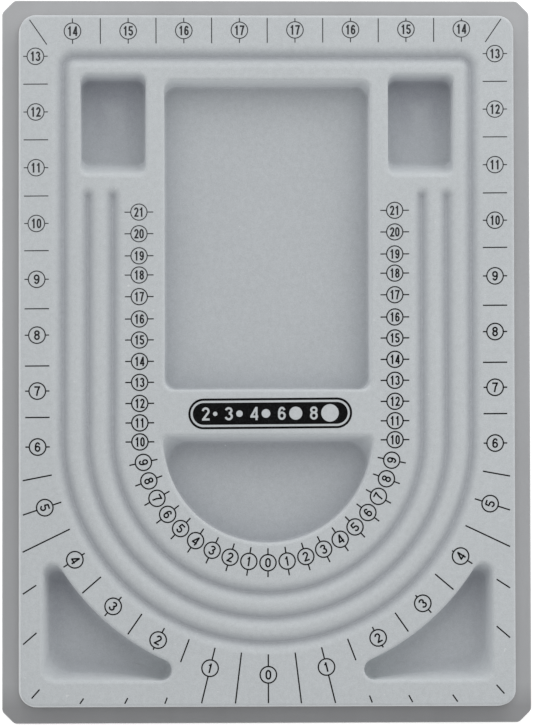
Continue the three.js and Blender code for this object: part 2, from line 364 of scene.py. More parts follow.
def in_tips(points, _way):
    """Painted shade in a corner recess, per point of a ring: 1 in its far tip, -1 (less) in its near tip, 0
    between.
    """
    parts = []
    for x, y in points:
        far = (y - CORNER.end_y - FAR_TIP_START) / FAR_TIP_REACH
        near = (NEAR_TIP_START - abs(x)) / NEAR_TIP_REACH
        parts.append(min(max(far, 0.0), 1.0) - min(max(near, 0.0), 1.0))
    return parts


def dull(points, shade_amounts, share, way=0, shaded=under_far_wall):
    """Painted shade for each point of a ring, from its share of the way down and its way out onto the floor.
    """
    down = max(share, 0.0)
    base = shade_amounts.foot + (shade_amounts.floor - shade_amounts.foot) * math.sin(QUARTER * way)
    least = base * down ** shade_amounts.power
    more = shade_amounts.shade * down ** shade_amounts.shade_power
    return [max(least + more * part, 0.0) for part in shaded(points, way)]


def sink_recess(skin, outline, wall, offset, detail, shade_amounts, shaded=under_far_wall):
    """Wall and floor of one recess. Returns the ring on the face round its mouth."""
    rings = []
    steps = wall_section(wall, offset, detail)
    for step in steps:
        points = outline(step.run, step.share, detail)
        rings.append(skin.ring(points, step.z, step.lip, dull(points, shade_amounts, step.share, 0, shaded)))
    if shade_amounts.fade:
        foot = steps[-1]
        for way in FADE_STEPS:
            points = outline(foot.run + shade_amounts.fade * way, foot.share, detail)
            rings.append(skin.ring(points, foot.z, 0.0, dull(points, shade_amounts, foot.share, way, shaded)))
    skin.bands(rings)
    skin.fill(rings[-1])
    return rings[0]


def sink_loop(skin, offset, detail, shade_amounts):
    """The closed outer channel. Returns the rings on the face outside it and inside it."""
    outer = []
    inner = []
    for step in wall_section(CHANNEL_WALL, offset, detail):
        reach = CHANNEL_MOUTH - step.run
        for rings, outset in ((outer, reach), (inner, -reach)):
            points = loop_outline(outset, detail)
            rings.append(skin.ring(points, step.z, step.lip, dull(points, shade_amounts, step.share)))
    skin.bands(outer)
    skin.bands(inner)
    skin.band(outer[-1], inner[-1])
    return outer[0], inner[0]


def formed_surface(skin, offset, detail, stop=None):
    """The whole formed surface at an offset from the face. Returns its lowest ring."""
    mouths = {}
    for key, outline in recess_outlines().items():
        wall, shaded = (BOWL_WALL, in_tips) if "corner" in key else (RECESS_WALL, under_far_wall)
        mouths[key] = sink_recess(skin, outline, wall, offset, detail, PAINTED_SHADE_AMOUNTS[key], shaded)
    for i in range(1, INNER_CHANNELS + 1):
        radius = OUTER_CHANNEL_RADIUS - i * CHANNEL_PITCH

        def outline(inset, share, detail, radius=radius):
            return open_channel_outline(radius, inset, detail)

        mouths[i] = sink_recess(skin, outline, CHANNEL_WALL, offset, detail, CHANNEL_PAINTED_SHADE)
    loop_outside, loop_inside = sink_loop(skin, offset, detail, CHANNEL_PAINTED_SHADE)
    rings = []
    for step in wall_section(BLOCK_WALL, offset, detail, stop):
        rings.append(skin.ring(rectangle_outline(BLOCK, -step.run, 0, detail), step.z, step.lip))
    skin.bands(rings)
    corners = [mouths.pop("left_corner"), mouths.pop("right_corner")]
    skin.fill(rings[0], [loop_outside, *corners])
    skin.fill(loop_inside, list(mouths.values()))
    return rings[-1]


# How far the flock's lower edge wanders, and over what length.
EDGE_WANDER = 0.35
EDGE_WAVE = 2.5


def flock_face(material):
    """The flock: an even pile over the block and into every recess, with a ragged lower edge."""
    skin = Skin()
    edge = formed_surface(skin, FLOCK_FACE, FINE, FLOCK_STOP + EDGE_WANDER)
    for i in edge:
        x, y, z = skin.points[i]
        wander = EDGE_WANDER * noise.noise(Vector((x, y, 0)) / EDGE_WAVE)
        skin.points[i] = (x, y, z + wander)
    face = BVHTree.FromPolygons([Vector(point) for point in skin.points], skin.faces)
    seat = formed_surface(skin, FLOCK_SEAT, HIDDEN, FLOCK_STOP + EDGE_WANDER)
    skin.fill(edge, [seat])
    piece = skin.make("flock_face", "flock", material)
    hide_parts("flock_coat")
    return face


def formed_tray(material):
    """The formed sheet: the block and its recesses in one with the flat rim, hollow beneath."""
    skin = Skin()
    upper_foot = formed_surface(skin, SHEET_FACE, HIDDEN)
    lower_foot = formed_surface(skin, SHEET_BACK, FINE)
    for i in upper_foot:
        skin.marks["lip"][i] = FOLD_PALE
    edge = []
    for inset, z, pale in (
        (RIM_EDGE_BAND, SHEET_THICKNESS, 0.0),
        (RIM_EDGE_EASE, SHEET_THICKNESS, 1.0),
        (0, SHEET_THICKNESS - RIM_EDGE_EASE, 1.0),
        (0, RIM_EDGE_EASE, 1.0),
        (RIM_EDGE_EASE, 0, 1.0),
        (RIM_EDGE_BAND, 0, 0.0),
    ):
        edge.append(skin.ring(rim_outline(inset), z, pale))
    skin.bands(edge)
    skin.fill(edge[0], [upper_foot])
    skin.fill(edge[-1], [lower_foot])
    piece = skin.make("formed_tray", "sheet", material)
    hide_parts("tray_shell")


# Printing. It went on a little askew to the forming and a trace too large, wider at the far end and fainter
# towards the far left, and takes only where the face is flat.
PRINT_TURN = 0.0071
PRINT_LEAN = -0.0012
PRINT_TAPER = 0.00004
PRINT_SHIFT_X = -0.19
PRINT_SCALE = 1.0013
PRINT_ROUND_Y = -33.0
FLAT_WITHIN = 0.03
LINE_WIDTH = 0.6
FAINT_LINE_WIDTH = 0.42
FAINT_FROM = -15.0
FAINT_TO = 80.0
FAINT_LEAN = -0.2
TICK_STEP = 0.25
RING_STEPS = 32
JOIN_WITHIN = 1e-5


def line_width(x, y):
    """How wide a printed line is: it gets finer towards the far left."""
    part = (y + x * FAINT_LEAN - FAINT_FROM) / (FAINT_TO - FAINT_FROM)
    return LINE_WIDTH + (FAINT_LINE_WIDTH - LINE_WIDTH) * min(max(part, 0.0), 1.0)


class Print:
    """Flat ink on the face, gathered as points and faces in millimetres and laid on the flock."""

    def __init__(self, face):
        self.face = face
        self.points = []
        self.faces = []

    def place(self, x, y):
        """Where a point of the artwork lands on the board."""
        across = x + y * (PRINT_LEAN + PRINT_TAPER * x)
        return Vector((across * PRINT_SCALE + PRINT_SHIFT_X, (y + x * PRINT_TURN) * PRINT_SCALE))

    def height(self, x, y):
        hit = self.face.ray_cast(Vector((x, y, 2 * BOARD_HEIGHT)), Vector((0, 0, -1)))[0]
        return hit.z if hit else 0.0

    def flat(self, x, y):
        return self.height(*self.place(x, y)) > BOARD_HEIGHT + FLOCK_FACE - FLAT_WITHIN

    def add(self, points, faces):
        first = len(self.points)
        self.points += points
        self.faces += [tuple(first + i for i in face) for face in faces]

    def ring(self, x, y, radius):
        line = line_width(x, y)
        outer = arc(x, y, radius + line / 2, 0, FULL, RING_STEPS)[:-1]
        inner = arc(x, y, radius - line / 2, 0, FULL, RING_STEPS)[:-1]
        faces = []
        for i in range(RING_STEPS):
            j = (i + 1) % RING_STEPS
            faces.append((i, j, RING_STEPS + j, RING_STEPS + i))
        self.add(outer + inner, faces)

    def tick(self, start, end, hole=None):
        """A thin line from start to end, left out inside a ring and where the face isn't flat."""
        start = Vector(start)
        end = Vector(end)
        count = max(2, round((end - start).length / TICK_STEP))
        stations = [start.lerp(end, i / count) for i in range(count + 1)]
        side = (end - start).orthogonal().normalized() * line_width(*start) / 2
        run = []
        for station in [*stations, None]:
            shown = station is not None and self.flat(*station)
            if shown and hole:
                shown = (station - Vector(hole[0])).length > hole[1]
            if shown:
                run.append(station)
                continue
            if len(run) > 2:
                self.strip(run, side)
            run = []

    def strip(self, run, side):
        points = [tuple(p + side) for p in run] + [tuple(p - side) for p in run]
        count = len(run)
        faces = [(i, count + i, count + i + 1, i + 1) for i in range(count - 1)]
        self.add(points, faces)

    def figure(self, text, x, y, height, turn=0.0):
        """A plain number centred on a point."""
        points, faces = joined(number_strokes(text))
        spin = Matrix.Rotation(turn, 2) * height
        self.add([tuple(spin @ Vector(point) + Vector((x, y))) for point in points], faces)

    def make(self, name, material):
        """Closes the flat shapes into thin slabs that follow the face."""
        mesh = bpy.data.meshes.new(name)
        places = [self.place(x, y) for x, y in self.points]
        mesh.from_pydata([(p.x, p.y, 0) for p in places], [], self.faces)
        shape = bmesh.new()
        shape.from_mesh(mesh)
        for part in shape.faces:
            if part.normal.z < 0:
                part.normal_flip()
        grown = bmesh.ops.extrude_face_region(shape, geom=shape.faces[:], use_keep_orig=True)
        top = {item for item in grown["geom"] if isinstance(item, bmesh.types.BMVert)}
        for vert in shape.verts:
            base = self.height(vert.co.x, vert.co.y)
            vert.co.z = base + INK_LIFT if vert in top else base - INK_SINK
        bmesh.ops.recalc_face_normals(shape, faces=shape.faces)
        bmesh.ops.scale(shape, vec=(MM, MM, MM), verts=shape.verts)
        shape.to_mesh(mesh)
        shape.free()
        mesh.materials.append(material)
        piece = bpy.data.objects.new(name, mesh)
        bpy.context.scene.collection.objects.link(piece)
        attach(piece, "root")


# Figures, each in a box one unit high: strokes along lines and arcs, and solid outlines.
FIGURE_WIDE = 0.6
FIGURE_NARROW = 0.47
FIGURE_STROKE = 0.165
FIGURE_SPACE = 0.075
FIGURE_STEPS = 7
MITRE_LEAST = 0.5
FIGURE_SIDE = FIGURE_STROKE / 2
FIGURE_TOP = 1 - FIGURE_SIDE


def bow(x, y, reach, rise, start, end):
    """Part of an upright oval, from one angle to another in degrees."""
    steps = max(3, round(abs(end - start) / 90 * FIGURE_STEPS))
    angles = [math.radians(start + (end - start) * i / steps) for i in range(steps + 1)]
    return [(x + reach * math.cos(a), y + rise * math.sin(a)) for a in angles]


def stroke(points):
    """Quads of a line as wide as the figures' strokes, mitred where it bends."""
    line = [Vector(point) for point in points]
    ways = [(b - a).normalized() for a, b in zip(line, line[1:])]
    sides = []
    for before, after in zip([ways[0], *ways], [*ways, ways[-1]]):
        way = (before + after).normalized()
        sides.append(Vector((-way.y, way.x)) * FIGURE_STROKE / 2 / max(way.dot(after), MITRE_LEAST))
    quads = []
    for i in range(len(line) - 1):
        j = i + 1
        quads.append([line[i] - sides[i], line[j] - sides[j], line[j] + sides[j], line[i] + sides[i]])
    return quads


def figure_strokes(figure, width):
    """Faces of one figure. They may overlap, and are joined later."""
    side, top = FIGURE_SIDE, FIGURE_TOP
    mid = width / 2
    reach = mid - side
    right = width - side
    if figure == "0":
        return stroke(bow(mid, 0.62, reach, top - 0.62, 0, 180) + bow(mid, 0.38, reach, 0.38 - side, 180, 360)
                      + [(right, 0.62)])
    if figure == "1":
        stem = mid + 0.02
        edge = stem - side
        flag = [(stem - 0.2, 0.7), (edge, 0.7), (edge, 1.0), (stem - 0.1, 0.87), (stem - 0.2, 0.83)]
        return [[Vector(p) for p in flag], *stroke([(stem, 0.0), (stem, 1.0)])]
    if figure == "2":
        bend = bow(mid, 0.7, reach, top - 0.7, 175, -30)
        return stroke([*bend, (side + 0.06, side * 1.6)]) + stroke([(0.02, side), (width, side)])
    if figure == "3":
        upper = bow(mid - 0.01, 0.735, reach - 0.01, top - 0.735, 170, -90)
        lower = bow(mid - 0.01, 0.3, reach + 0.01, 0.3 - side, 90, -170)
        return stroke(upper) + stroke(lower)
    if figure == "4":
        post = right - 0.05
        slope = stroke([(post - 0.02, 0.94), (side, 0.3)])
        return slope + stroke([(0.0, 0.27), (width, 0.27)]) + stroke([(post, 0.0), (post, 1.0)])
    if figure == "5":
        bowl = bow(mid - 0.01, 0.32, reach + 0.01, 0.32 - side, 130, -165)
        return stroke([(0.06, top), (right + 0.04, top)]) + stroke([(0.1, top), (0.07, 0.5)]) + stroke(bowl)
    if figure == "6":
        bowl = bow(mid, 0.32, reach, 0.32 - side, 0, 360)
        return stroke(bowl) + stroke(bow(mid + 0.01, 0.5, reach + 0.01, top - 0.5, 200, 35))
    if figure == "7":
        leg = [(right, top), (mid + 0.03, 0.5), (mid - 0.06, 0.0)]
        return stroke([(0.0, top), (width, top)]) + stroke(leg)
    if figure == "8":
        return stroke(bow(mid, 0.735, reach - 0.015, top - 0.735, 0, 360)) + stroke(
            bow(mid, 0.305, reach, 0.305 - side, 0, 360))
    return [[Vector((width - p.x, 1 - p.y)) for p in quad] for quad in figure_strokes("6", width)]


def number_strokes(text):
    """Faces of a whole number, centred on the origin. Numbers of two figures are narrow."""
    width = FIGURE_WIDE if len(text) == 1 else FIGURE_NARROW
    advance = width + FIGURE_SPACE
    start = Vector(((FIGURE_SPACE - len(text) * advance) / 2, -0.5))
    quads = []
    for i, figure in enumerate(text):
        shift = start + Vector((i * advance, 0))
        quads += [[p + shift for p in quad] for quad in figure_strokes(figure, width)]
    return quads


def joined(shapes, cut=()):
    """Points and triangles of overlapping flat shapes joined into one, less the shapes to cut away."""
    places = [p for shape in [*shapes, *cut] for p in shape]
    spans = []
    for shape in [*shapes, *cut]:
        start = spans[-1][-1] + 1 if spans else 0
        spans.append(list(range(start, start + len(shape))))
    places = [Vector(p) for p in places]
    points, _, faces, _, _, origins = delaunay_2d_cdt(places, [], spans, KEEP_HULL, JOIN_WITHIN)
    kept = []
    for face, origin in zip(faces, origins):
        if origin and max(origin) < len(shapes):
            kept.append(tuple(face))
    return [tuple(p) for p in points], kept


def on_arc(radius, angle, side, centre_y=PRINT_ROUND_Y):
    """Point at an angle from straight down about a scale's centre, on the left (-1) or right (1)."""
    return side * radius * math.sin(angle), centre_y - radius * math.cos(angle)


# Inch scale along the outer channel: 0 in the middle of the near end, up both sides to 17 at the far end. The
# half-inch marks at the sides are spaced unevenly.
INCH = 25.27
INCH_FAR = 25.06
INCH_RING = 3.74
INCH_FIGURE = 4.4
INCH_ARC_RADII = [109.3, 109.3, 105.7, 104.8, 104.2, 106.2]
INCH_ARC_ANGLES = [0.0, 14.0, 28.2, 42.1, 57.1, 71.9, 86.9]
INCH_ARC_START = 97.6
INCH_HALF_START = 99.4
INCH_SIDE_NUMBERS = range(6, 14)
INCH_SIDE_X = 103.65
INCH_SIDE_SHIFT = -0.4
INCH_SIDE_REACH = 5.5
INCH_SIX_Y = -38.6
INCH_FAR_NUMBERS = range(14, 18)
INCH_FAR_MIDDLE = 17.5
INCH_FAR_SHIFT = 0.4
INCH_FAR_Y = 149.6
INCH_FAR_REACH = 5.8
INCH_HALF_SHIFT = [0.7, -1.3, -0.7, 0.3, -0.2, 0.0, 0.0]
INCH_CORNER_TICK = ((106.6, 154.9), (98.9, 143.6))
INCH_CLEAR = 3.0
INCH_CLEAR_STEPS = 8
BORDER_X = 110.55
BORDER_SHIFT_X = -0.55
BORDER_Y = 155.3
BORDER_CORNER = 160.2
BORDER_CORNER_TICK = 5.4
BORDER_SIDE_TICK = 6.1
BORDER_NEAR_TICK = 3.2


def inch_scale(face, material):
    ink = Print(face)

    def numbered(number, x, y, start, end, turn=0.0):
        ink.ring(x, y, INCH_RING)
        ink.tick(start, end, ((x, y), INCH_RING))
        ink.figure(str(number), x, y, INCH_FIGURE, turn)

    for side in (-1, 1):
        for step, number in enumerate(INCH_SIDE_NUMBERS):
            y = INCH_SIX_Y + step * INCH
            x = side * INCH_SIDE_X + INCH_SIDE_SHIFT
            reach = side * INCH_SIDE_REACH
            numbered(number, x, y, (x - reach, y), (x + reach, y))
            if step < len(INCH_HALF_SHIFT):
                half_y = y + INCH / 2 + INCH_HALF_SHIFT[step]
                ink.tick((x - reach, half_y), (x + reach, half_y))
        for number in INCH_FAR_NUMBERS:
            x = side * (INCH_FAR_MIDDLE - number) * INCH_FAR + INCH_FAR_SHIFT
            half_x = x - side * INCH_FAR / 2
            low, high = INCH_FAR_Y - INCH_FAR_REACH, INCH_FAR_Y + INCH_FAR_REACH
            numbered(number, x, INCH_FAR_Y, (x, low), (x, high))
            if number < INCH_FAR_NUMBERS[-1] or side < 0:
                ink.tick((half_x, low), (half_x, high))
        (x0, y0), (x1, y1) = INCH_CORNER_TICK
        ink.tick((side * x0, y0), (side * x1, y1))
        for half in range(1, 2 * len(INCH_ARC_RADII)):
            inch_arc_mark(ink, numbered, half, side)
    x, y = on_arc(INCH_ARC_RADII[0], 0, 1)
    numbered(0, x, y, on_arc(INCH_ARC_START, 0, 1), (0, -BORDER_Y))
    ink.make("inch_scale", material)


def inch_arc_mark(ink, numbered, half, side):
    """One half-inch step round the bend: a line out to the border, broken where a recess lies."""
    below, above = INCH_ARC_ANGLES[half // 2], INCH_ARC_ANGLES[(half + 1) // 2]
    angle = math.radians((below + above) / 2)
    sine, cosine = math.sin(angle), math.cos(angle)
    to_side = (BORDER_X + side * BORDER_SHIFT_X) / sine
    to_near = (BORDER_Y + PRINT_ROUND_Y) / cosine
    reach, tick = min(
        (to_side, BORDER_SIDE_TICK / sine),
        (to_near, BORDER_NEAR_TICK / cosine),
        (BORDER_CORNER, BORDER_CORNER_TICK),
    )
    border = on_arc(reach - tick, angle, side), on_arc(reach, angle, side)
    inner_end = CORNER.arc_radius
    crosses = False
    for k in range(INCH_CLEAR_STEPS - 1):
        station = inner_end + k * (reach - inner_end) / INCH_CLEAR_STEPS
        for lean in (-INCH_CLEAR / station, INCH_CLEAR / station):
            crosses = crosses or not ink.flat(*on_arc(station, angle + lean, side))
    if crosses:
        ink.tick(*border)
    end = on_arc(inner_end if crosses else reach, angle, side)
    if half % 2:
        ink.tick(on_arc(INCH_HALF_START, angle, side), end)
        return
    x, y = on_arc(INCH_ARC_RADII[half // 2], angle, side)
    numbered(half // 2, x, y, on_arc(INCH_ARC_START, angle, side), end, side * angle)


# Centimetre scale inside the channels: 0 in the middle, up both sides to 21.
CM_RING = 3.67
CM_FIGURE = 4.3
CM_TURN = math.radians(8.7)
CM_SIDE_X = 57.8
CM_RADIUS = 57.45
CM_BEND_Y = -34.3
CM_REACH = 6.5
CM_LEG_START = 10
CM_LEG_Y = [-36.7, -28.1, -19.3, -9.8, -0.3, 9.4, 18.9, 29.0, 38.8, 47.5, 57.5, 67.3]


def centimetre_scale(face, material):
    ink = Print(face)
    for side in (-1, 1):
        for number, y in enumerate(CM_LEG_Y, CM_LEG_START):
            x = side * CM_SIDE_X
            ink.ring(x, y, CM_RING)
            ink.tick((x - CM_REACH, y), (x + CM_REACH, y), ((x, y), CM_RING))
            ink.figure(str(number), x, y, CM_FIGURE)
        for number in range(0 if side > 0 else 1, CM_LEG_START):
            angle = number * CM_TURN
            x, y = on_arc(CM_RADIUS, angle, side, CM_BEND_Y)
            start = on_arc(CM_RADIUS - CM_REACH, angle, side, CM_BEND_Y)
            end = on_arc(CM_RADIUS + CM_REACH, angle, side, CM_BEND_Y)
            ink.ring(x, y, CM_RING)
            ink.tick(start, end, ((x, y), CM_RING))
            ink.figure(str(number), x, y, CM_FIGURE, side * angle)
    ink.make("centimetre_scale", material)


# Printed panel between the main recess and the moon: a bead size gauge, dots with their size in millimetres.
PANEL_CENTRE = (1.25, -24.3)
PANEL_LENGTH = 74.2
PANEL_WIDTH = 13.9
PANEL_LINE = 1.0
PANEL_GAP = 1.0
PANEL_STEPS = 24
GAUGE_SIZES = [2, 3, 4, 6, 8]
GAUGE_FIGURE = 6.0
GAUGE_FIGURE_GAP = 1.5
GAUGE_STEP_GAP = 3.4


def stadium(length, width):
    radius = width / 2
    reach = length / 2 - radius
    right = arc(reach, 0, radius, -QUARTER, QUARTER, PANEL_STEPS)
    return right + arc(-reach, 0, radius, QUARTER, HALF + QUARTER, PANEL_STEPS)


def gauge_shapes():
    """The gauge's dots and numbers, side by side about the panel's centre."""
    shapes = []
    x = 0.0
    half = FIGURE_WIDE * GAUGE_FIGURE / 2
    for size in GAUGE_SIZES:
        x += half
        for quad in number_strokes(str(size)):
            shapes.append([(x + p.x * GAUGE_FIGURE, p.y * GAUGE_FIGURE) for p in quad])
        x += half + GAUGE_FIGURE_GAP + size / 2
        shapes.append(arc(x, 0, size / 2, 0, FULL, PANEL_STEPS)[:-1])
        x += size / 2 + GAUGE_STEP_GAP
    shift = (x - GAUGE_STEP_GAP) / 2
    return [[(px - shift, py) for px, py in shape] for shape in shapes]


def gauge_panel(face, material):
    ink = Print(face)
    inset = 2 * (PANEL_LINE + PANEL_GAP)
    edge = stadium(PANEL_LENGTH, PANEL_WIDTH)
    edge_inside = stadium(PANEL_LENGTH - 2 * PANEL_LINE, PANEL_WIDTH - 2 * PANEL_LINE)
    field = stadium(PANEL_LENGTH - inset, PANEL_WIDTH - inset)
    for points, faces in (joined([edge], [edge_inside]), joined([field], gauge_shapes())):
        ink.add([(x + PANEL_CENTRE[0], y + PANEL_CENTRE[1]) for x, y in points], faces)
    ink.make("gauge_panel", material)


# Ways over the board, the span that most noise values lie in, and the colour sockets of a Mix node, which
# can't be told from its others by name.
ALONG = (0.0, 1.0, 0.0)
ACROSS = (1.0, 0.0, 0.0)
NOISE_LOW = 0.3
NOISE_HIGH = 0.7
MIX_FIRST = 6
MIX_SECOND = 7
MIX_RESULT = 2


class Nodes:
    """Shorthand for building one material's node tree."""

    def __init__(self, name):
        self.material = bpy.data.materials.new(name)
        self.material.use_nodes = True
        self.tree = self.material.node_tree
        self.shader = self.tree.nodes["Principled BSDF"]
        coordinates = self.tree.nodes.new("ShaderNodeTexCoord")
        self.place = coordinates.outputs["Object"]
        self.facing = coordinates.outputs["Normal"]

    def link(self, source, target):
        self.tree.links.new(source, target)

    def noise(self, scale, detail=2.0, roughness=0.5, stretch=None):
        node = self.tree.nodes.new("ShaderNodeTexNoise")
        node.inputs["Scale"].default_value = scale
        node.inputs["Detail"].default_value = detail
        node.inputs["Roughness"].default_value = roughness
        source = self.place
        if stretch:
            mapping = self.tree.nodes.new("ShaderNodeMapping")
            mapping.inputs["Scale"].default_value = stretch
            self.link(self.place, mapping.inputs["Vector"])
            source = mapping.outputs["Vector"]
        self.link(source, node.inputs["Vector"])
        return node.outputs["Fac"]

    def remap(self, value, low, high, from_low=NOISE_LOW, from_high=NOISE_HIGH):
        node = self.tree.nodes.new("ShaderNodeMapRange")
        node.inputs["From Min"].default_value = from_low
        node.inputs["From Max"].default_value = from_high
        node.inputs["To Min"].default_value = low
        node.inputs["To Max"].default_value = high
        self.link(value, node.inputs["Value"])
        return node.outputs["Result"]

    def math(self, operation, first, second):
        node = self.tree.nodes.new("ShaderNodeMath")
        node.operation = operation
        for socket, value in zip(node.inputs, (first, second)):
            if isinstance(value, (int, float)):
                socket.default_value = value
            else:
                self.link(value, socket)
        return node.outputs["Value"]

    def product(self, *values):
        total = values[0]
        for value in values[1:]:
            total = self.math("MULTIPLY", total, value)
        return total

    def varied(self, value, spread):
        """A tone that varies about 1 with a noise."""
        return self.remap(value, 1 - spread, 1 + spread)

    def steepness(self):
        """0 on level faces, 1 on upright ones."""
        parts = self.tree.nodes.new("ShaderNodeSeparateXYZ")
        self.link(self.facing, parts.inputs["Vector"])
        return self.remap(parts.outputs["Z"], 1.0, 0.0, 0, 1)

    def along(self, near, far, start=-BOARD_LENGTH / 2, end=BOARD_LENGTH / 2, way=ALONG):
        """A value that changes evenly one way over the board, from end to end unless places are given."""
        node = self.tree.nodes.new("ShaderNodeVectorMath")
        node.operation = "DOT_PRODUCT"
        self.link(self.place, node.inputs[0])
        node.inputs[1].default_value = way
        return self.remap(node.outputs["Value"], near, far, start * MM, end * MM)

    def mark(self, name):
        node = self.tree.nodes.new("ShaderNodeAttribute")
        node.attribute_name = name
        return node.outputs["Fac"]

    def scaled(self, color, factor):
        """A colour times a factor."""
        node = self.tree.nodes.new("ShaderNodeVectorMath")
        node.operation = "SCALE"
        self.link(color, node.inputs[0])
        self.link(factor, node.inputs["Scale"])
        return node.outputs["Vector"]

    def mix(self, factor, first, second):
        node = self.tree.nodes.new("ShaderNodeMix")
        node.data_type = "RGBA"
        self.link(factor, node.inputs["Factor"])
        for socket, color in ((node.inputs[MIX_FIRST], first), (node.inputs[MIX_SECOND], second)):
            if isinstance(color, tuple):
                socket.default_value = (*color, 1.0)
            else:
                self.link(color, socket)
        return node.outputs[MIX_RESULT]

    def bump(self, height, strength, distance):
        node = self.tree.nodes.new("ShaderNodeBump")
        node.inputs["Strength"].default_value = strength
        node.inputs["Distance"].default_value = distance
        self.link(height, node.inputs["Height"])
        self.link(node.outputs["Normal"], self.shader.inputs["Normal"])

    def color(self, value):
        self.link(value, self.shader.inputs["Base Color"])

    def set(self, **values):
        for key, value in values.items():
            name = key.replace("_", " ").title().replace("Ior", "IOR")
            self.shader.inputs[name].default_value = value


# Materials: colours, tones, and the scales and spreads of the noises that vary them. A bump is given by its
# strength and its height in metres.
FIBRE_SCALE = 2600.0
FIBRE_ROUGHNESS = 0.6
FIBRE_SPREAD = 0.09
CLUMP_SCALE = 420.0
CLUMP_SPREAD = 0.03
FLOCK_CLOUD_SCALE = 28.0
FLOCK_CLOUD_SPREAD = 0.015
FLOCK_BUMP = (0.25, 0.0003)
FLOCK_COLOR = (0.499, 0.525, 0.541)
# Painted shade: the colour the flock is mixed towards in the recesses and channels.
FLOCK_SHADE_COLOR = (0.282, 0.293, 0.328)
# Painted sheen: steep walls paler, standing in for the fibres seen from their sides.
FLOCK_SIDE_SHEEN = 1.4
FLOCK_SIDE_SHEEN_POWER = 1.6
# Painted light: the flock paler towards the far end and the right, where the light comes from.
FLOCK_NEAR_PAINTED_LIGHT = 0.925
FLOCK_FAR_PAINTED_LIGHT = 0.972
FLOCK_LEFT_PAINTED_LIGHT = 0.997
FLOCK_RIGHT_PAINTED_LIGHT = 1.028
# Painted sheen: lips paler than the face.
FLOCK_LIP_SHEEN = 1.03
FLOCK_SPECK_COLOR = (0.58, 0.6, 0.61)
SPECK_SCALE = 610.0
SPECK_FROM = 0.87
SPECK_TO = 0.91


def flock_material():
    """Short nylon pile: fibre speckle, soft clouding, painted shade in the recesses and a painted sheen on
    lips.

    Steep walls are paler as well, a painted sheen for the fibres seen from their sides. The whole coat is
    painted a little paler towards the far end and the right, where the light comes from.
    """
    nodes = Nodes("flock")
    fibre = nodes.noise(FIBRE_SCALE, roughness=FIBRE_ROUGHNESS)
    # Painted sheen on steep walls.
    side = nodes.math("POWER", nodes.steepness(), FLOCK_SIDE_SHEEN_POWER)
    reach = BLOCK_WIDTH / 2
    # Fibre, clump and cloud noise; painted sheen on lips and steep walls; painted light towards the far end
    # and the right.
    tone = nodes.product(
        nodes.varied(fibre, FIBRE_SPREAD),
        nodes.varied(nodes.noise(CLUMP_SCALE), CLUMP_SPREAD),
        nodes.varied(nodes.noise(FLOCK_CLOUD_SCALE, detail=3), FLOCK_CLOUD_SPREAD),
        nodes.remap(nodes.mark("lip"), 1.0, FLOCK_LIP_SHEEN, 0, 1),
        nodes.along(FLOCK_NEAR_PAINTED_LIGHT, FLOCK_FAR_PAINTED_LIGHT),
        nodes.along(FLOCK_LEFT_PAINTED_LIGHT, FLOCK_RIGHT_PAINTED_LIGHT, -reach, reach, ACROSS),
        nodes.remap(side, 1.0, FLOCK_SIDE_SHEEN, 0, 1),
    )
    # Painted shade in the recesses and channels, from the mark laid down with each ring.
    base = nodes.mix(nodes.mark("painted_shade"), FLOCK_COLOR, FLOCK_SHADE_COLOR)
    speck = nodes.remap(nodes.noise(SPECK_SCALE, detail=0), 0.0, 1.0, SPECK_FROM, SPECK_TO)
    nodes.color(nodes.scaled(nodes.mix(speck, base, FLOCK_SPECK_COLOR), tone))
    nodes.bump(fibre, *FLOCK_BUMP)
    nodes.set(roughness=1.0, sheen_weight=0.5, sheen_roughness=0.4, specular_ior_level=0.15)
    return nodes.material


INK_COLOR = (0.002, 0.002, 0.0022)
INK_THIN_COLOR = (0.02, 0.0215, 0.023)
INK_FAINT_COLOR = (0.035, 0.037, 0.039)
INK_FAINT_WAY = (FAINT_LEAN, 1.0, 0.0)
INK_FIBRE_FROM = 0.45
INK_FIBRE_TO = 0.75
INK_CLOUD_SCALE = 90.0
INK_CLOUD_LEAST = 0.3
INK_BUMP = (0.2, 0.0002)


def ink_material():
    """Black ink in the pile, thinner where fibres stand through it, and paler towards the far left."""
    nodes = Nodes("ink")
    fibre = nodes.noise(FIBRE_SCALE, roughness=FIBRE_ROUGHNESS)
    thin = nodes.product(
        nodes.remap(fibre, 0.0, 1.0, INK_FIBRE_FROM, INK_FIBRE_TO),
        nodes.remap(nodes.noise(INK_CLOUD_SCALE), INK_CLOUD_LEAST, 1.0),
    )
    base = nodes.mix(thin, INK_COLOR, INK_THIN_COLOR)
    faint = nodes.along(0.0, 1.0, FAINT_FROM, FAINT_TO, INK_FAINT_WAY)
    nodes.color(nodes.mix(faint, base, INK_FAINT_COLOR))
    nodes.bump(fibre, *INK_BUMP)
    nodes.set(roughness=0.95, sheen_weight=0.02, specular_ior_level=0.08)
    return nodes.material


SHEET_COLOR = (0.372, 0.376, 0.386)
SHEET_EDGE_COLOR = (0.48, 0.485, 0.495)
# Painted light: the sheet darker towards the near end.
SHEET_NEAR_PAINTED_LIGHT = 0.94
SHEET_FAR_PAINTED_LIGHT = 0.985
# Painted shadow of the block along the near rim.
SHEET_RIM_PAINTED_SHADOW = 0.7
SHEET_RIM_SHADOW_FROM = -158.0
SHEET_RIM_SHADOW_TO = -147.0
SHEET_EDGE_SHARE = 0.6
SHEET_SPREAD = 0.03
SHEET_CLOUD_SCALE = 14.0
SHEET_SMOOTHEST = 0.42
SHEET_ROUGHEST = 0.56
STREAK_SCALE = 60.0
STREAK_ROUGHNESS = 0.6
STREAK_STRETCH = (1.0, 0.06, 1.0)
PEEL_SCALE = 900.0
PEEL_BUMP = (0.12, 0.0002)


